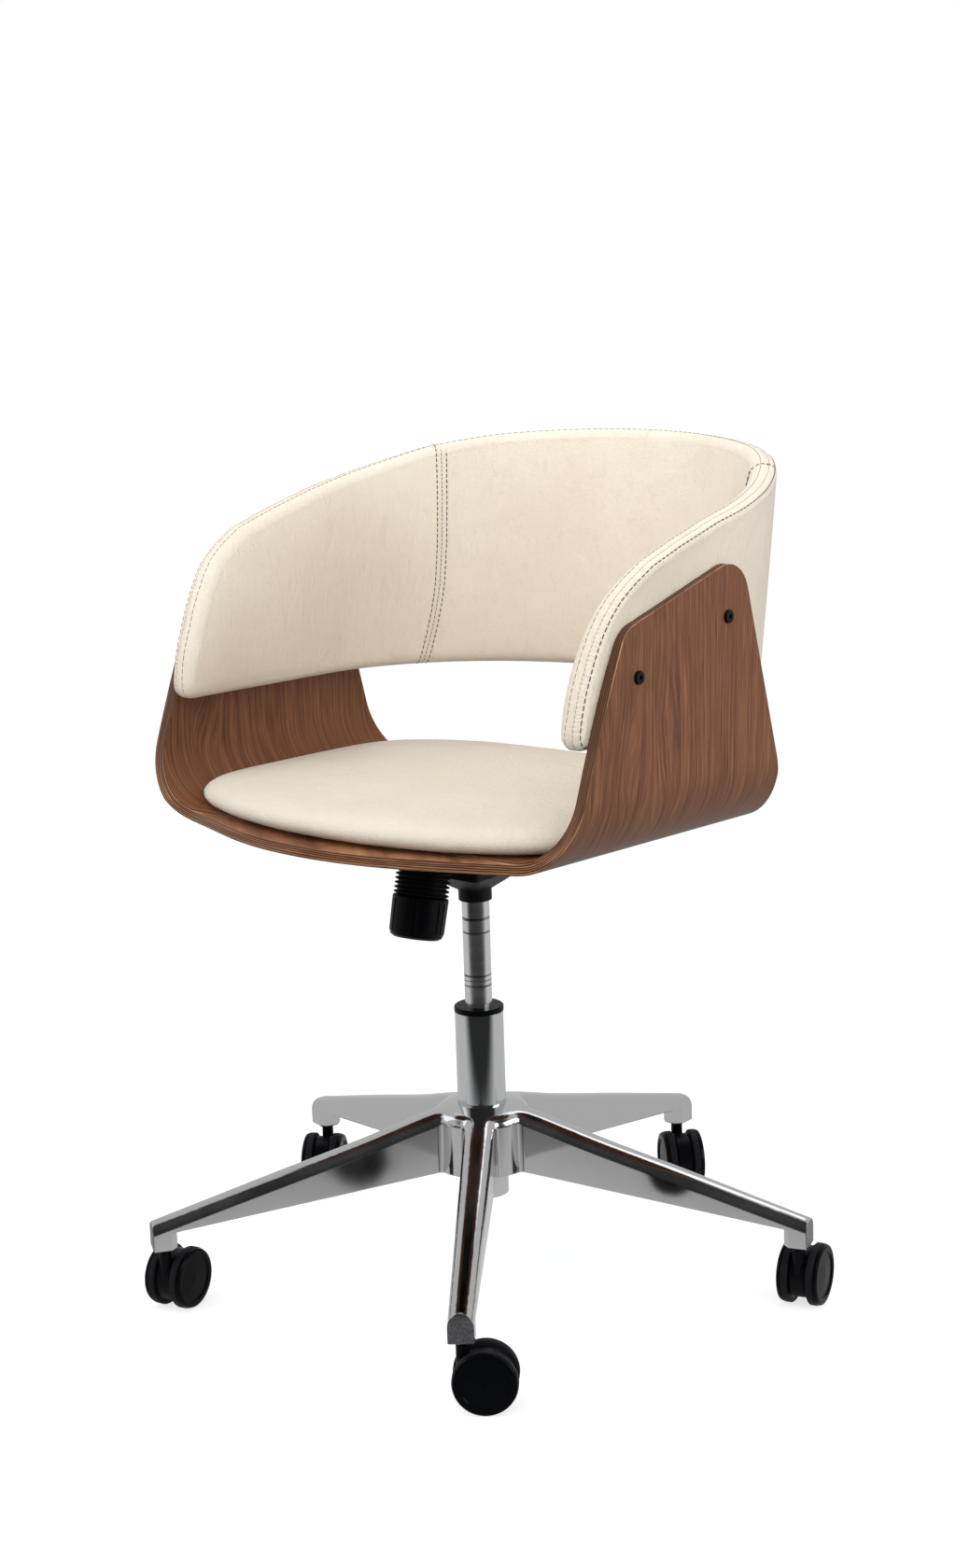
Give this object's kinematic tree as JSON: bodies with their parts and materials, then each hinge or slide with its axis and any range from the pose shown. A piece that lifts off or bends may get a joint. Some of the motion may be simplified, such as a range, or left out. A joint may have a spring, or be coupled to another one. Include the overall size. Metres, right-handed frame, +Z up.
{
  "type": "office chair",
  "caption": "Swivel office chair with a bent walnut shell, cream leather seat pad and wrap-around backrest, on a polished five-leg base with twin-wheel casters",
  "frame": {"origin": "on the floor, on the axis of the column", "axes": "+Z up along the column, -Y to the front of the seat, +X to the sitter's left"},
  "size_m": [0.6831, 0.6527, 0.8463],
  "materials": {
    "walnut_ply": "walnut veneer on bent plywood, satin lacquer",
    "cream_leather": "fine-grained cream leather over foam, stitched",
    "former_ply": "bent birch plywood former, hidden",
    "black_steel": "black coated steel",
    "zinc_steel": "bright zinc plated steel",
    "black_casting": "black powder coated casting",
    "polished_aluminium": "polished die-cast aluminium",
    "chrome_tube": "bright chrome plate",
    "satin_steel": "ground steel, lightly greased",
    "black_plastic": "moulded black plastic, fine satin",
    "gloss_black": "polished black plastic",
    "grey_tyre": "soft dark grey tyre ring",
    "black_rubber": "black rubber, ribbed boot and stop"
  },
  "bodies": {
    "base": {"star_base": "polished_aluminium", "column_tube": "chrome_tube", "guide_bush": "black_plastic", "thrust_bearing": "zinc_steel", "caster_stems": "zinc_steel"},
    "rod": {"piston_rod": "satin_steel", "rod_clip": "zinc_steel"},
    "carriage": {"gas_cylinder": "satin_steel", "mechanism_housing": "black_casting", "pivot_pin": "zinc_steel", "tilt_stop": "black_rubber", "lever_pin": "zinc_steel", "tilt_spring": "zinc_steel", "spring_boot": "black_rubber"},
    "lever": {"height_lever": "black_steel"},
    "button": {"release_pin": "zinc_steel"},
    "seat": {"mechanism_plate": "black_steel", "seat_bolts": "zinc_steel", "seat_tee_nuts": "zinc_steel", "seat_shell": "walnut_ply", "seat_board": "former_ply", "seat_pad": "cream_leather", "backrest_core": "former_ply", "backrest_inner_pad": "cream_leather", "backrest_outer_pad": "cream_leather", "arm_screws": "black_steel", "arm_inserts": "zinc_steel", "tension_stud": "zinc_steel"},
    "cup": {"spring_cup": "zinc_steel"},
    "knob": {"tension_knob": "black_plastic"},
    "caster_1": {"caster_1_housing": "black_plastic", "caster_1_axle": "zinc_steel"},
    "caster_1_left": {"caster_1_left_wheel": "gloss_black", "caster_1_left_tyre": "grey_tyre"},
    "caster_1_right": {"caster_1_right_wheel": "gloss_black", "caster_1_right_tyre": "grey_tyre"},
    "caster_2": {"caster_2_housing": "black_plastic", "caster_2_axle": "zinc_steel"},
    "caster_2_left": {"caster_2_left_wheel": "gloss_black", "caster_2_left_tyre": "grey_tyre"},
    "caster_2_right": {"caster_2_right_wheel": "gloss_black", "caster_2_right_tyre": "grey_tyre"},
    "caster_3": {"caster_3_housing": "black_plastic", "caster_3_axle": "zinc_steel"},
    "caster_3_left": {"caster_3_left_wheel": "gloss_black", "caster_3_left_tyre": "grey_tyre"},
    "caster_3_right": {"caster_3_right_wheel": "gloss_black", "caster_3_right_tyre": "grey_tyre"},
    "caster_4": {"caster_4_housing": "black_plastic", "caster_4_axle": "zinc_steel"},
    "caster_4_left": {"caster_4_left_wheel": "gloss_black", "caster_4_left_tyre": "grey_tyre"},
    "caster_4_right": {"caster_4_right_wheel": "gloss_black", "caster_4_right_tyre": "grey_tyre"},
    "caster_5": {"caster_5_housing": "black_plastic", "caster_5_axle": "zinc_steel"},
    "caster_5_left": {"caster_5_left_wheel": "gloss_black", "caster_5_left_tyre": "grey_tyre"},
    "caster_5_right": {"caster_5_right_wheel": "gloss_black", "caster_5_right_tyre": "grey_tyre"}
  },
  "joints": [
    {"name": "seat_swivel", "type": "hinge", "parent": "base", "child": "rod", "pos_m": [0, 0, 0.1], "axis": [0, 0, 1], "continuous": true},
    {"name": "column_lift", "type": "slide", "parent": "rod", "child": "carriage", "axis": [0, 0, 1], "range_m": [-0.1, 0]},
    {"name": "seat_tilt", "type": "hinge", "parent": "carriage", "child": "seat", "pos_m": [0, 0.03013, 0.44125], "axis": [-1, 0, 0], "range_deg": [0, 12], "stiffness_Nm_per_rad": 160, "springref_deg": -11.46, "deforming": ["tilt_spring", "spring_boot"]},
    {"name": "knob_travel", "type": "slide", "parent": "seat", "child": "cup", "axis": [0, 0.2402, 0.9707], "range_m": [-0.0081, 0]},
    {"name": "knob_turn", "type": "hinge", "parent": "cup", "child": "knob", "pos_m": [0, -0.0792, 0.4441], "axis": [0, 0.2402, 0.9707], "range_deg": [-1440, 0]},
    {"name": "height_lever", "type": "hinge", "parent": "carriage", "child": "lever", "pos_m": [-0.028, 0, 0.4635], "axis": [0, 1, 0], "range_deg": [0, 7], "stiffness_Nm_per_rad": 0.8, "springref_deg": -8.59},
    {"name": "release_pin", "type": "slide", "parent": "carriage", "child": "button", "axis": [0, 0, 1], "range_m": [-0.0035, 0]},
    {"name": "caster_1_swivel", "type": "hinge", "parent": "base", "child": "caster_1", "pos_m": [0.32042, 0.0998, 0.05], "axis": [0, 0, 1], "continuous": true},
    {"name": "caster_1_left_roll", "type": "hinge", "parent": "caster_1", "child": "caster_1_left", "pos_m": [0.31516, 0.12013, 0.0315], "axis": [0.9681, 0.2504, 0], "continuous": true},
    {"name": "caster_1_right_roll", "type": "hinge", "parent": "caster_1", "child": "caster_1_right", "pos_m": [0.31516, 0.12013, 0.0315], "axis": [0.9681, 0.2504, 0], "continuous": true},
    {"name": "caster_2_swivel", "type": "hinge", "parent": "base", "child": "caster_2", "pos_m": [0.0041, 0.33558, 0.05], "axis": [0, 0, 1], "continuous": true},
    {"name": "caster_2_left_roll", "type": "hinge", "parent": "caster_2", "child": "caster_2_left", "pos_m": [0.01961, 0.32142, 0.0315], "axis": [-0.6743, -0.7385, 0], "continuous": true},
    {"name": "caster_2_right_roll", "type": "hinge", "parent": "caster_2", "child": "caster_2_right", "pos_m": [0.01961, 0.32142, 0.0315], "axis": [-0.6743, -0.7385, 0], "continuous": true},
    {"name": "caster_3_swivel", "type": "hinge", "parent": "base", "child": "caster_3", "pos_m": [-0.31788, 0.1076, 0.05], "axis": [0, 0, 1], "continuous": true},
    {"name": "caster_3_left_roll", "type": "hinge", "parent": "caster_3", "child": "caster_3_left", "pos_m": [-0.30738, 0.08941, 0.0315], "axis": [-0.866, -0.5, 0], "continuous": true},
    {"name": "caster_3_right_roll", "type": "hinge", "parent": "caster_3", "child": "caster_3_right", "pos_m": [-0.30738, 0.08941, 0.0315], "axis": [-0.866, -0.5, 0], "continuous": true},
    {"name": "caster_4_swivel", "type": "hinge", "parent": "base", "child": "caster_4", "pos_m": [-0.20056, -0.26908, 0.05], "axis": [0, 0, 1], "continuous": true},
    {"name": "caster_4_left_roll", "type": "hinge", "parent": "caster_4", "child": "caster_4_left", "pos_m": [-0.20421, -0.2484, 0.0315], "axis": [0.9848, 0.1736, 0], "continuous": true},
    {"name": "caster_4_right_roll", "type": "hinge", "parent": "caster_4", "child": "caster_4_right", "pos_m": [-0.20421, -0.2484, 0.0315], "axis": [0.9848, 0.1736, 0], "continuous": true},
    {"name": "caster_5_swivel", "type": "hinge", "parent": "base", "child": "caster_5", "pos_m": [0.19393, -0.2739, 0.05], "axis": [0, 0, 1], "continuous": true},
    {"name": "caster_5_left_roll", "type": "hinge", "parent": "caster_5", "child": "caster_5_left", "pos_m": [0.21083, -0.26143, 0.0315], "axis": [0.5934, -0.8049, 0], "continuous": true},
    {"name": "caster_5_right_roll", "type": "hinge", "parent": "caster_5", "child": "caster_5_right", "pos_m": [0.21083, -0.26143, 0.0315], "axis": [0.5934, -0.8049, 0], "continuous": true}
  ],
  "couplings": [
    {"joint": "knob_travel", "follows": "knob_turn", "m_per_rad": 0.0003183},
    {"joint": "release_pin", "follows": "height_lever", "m_per_rad": -0.028}
  ]
}
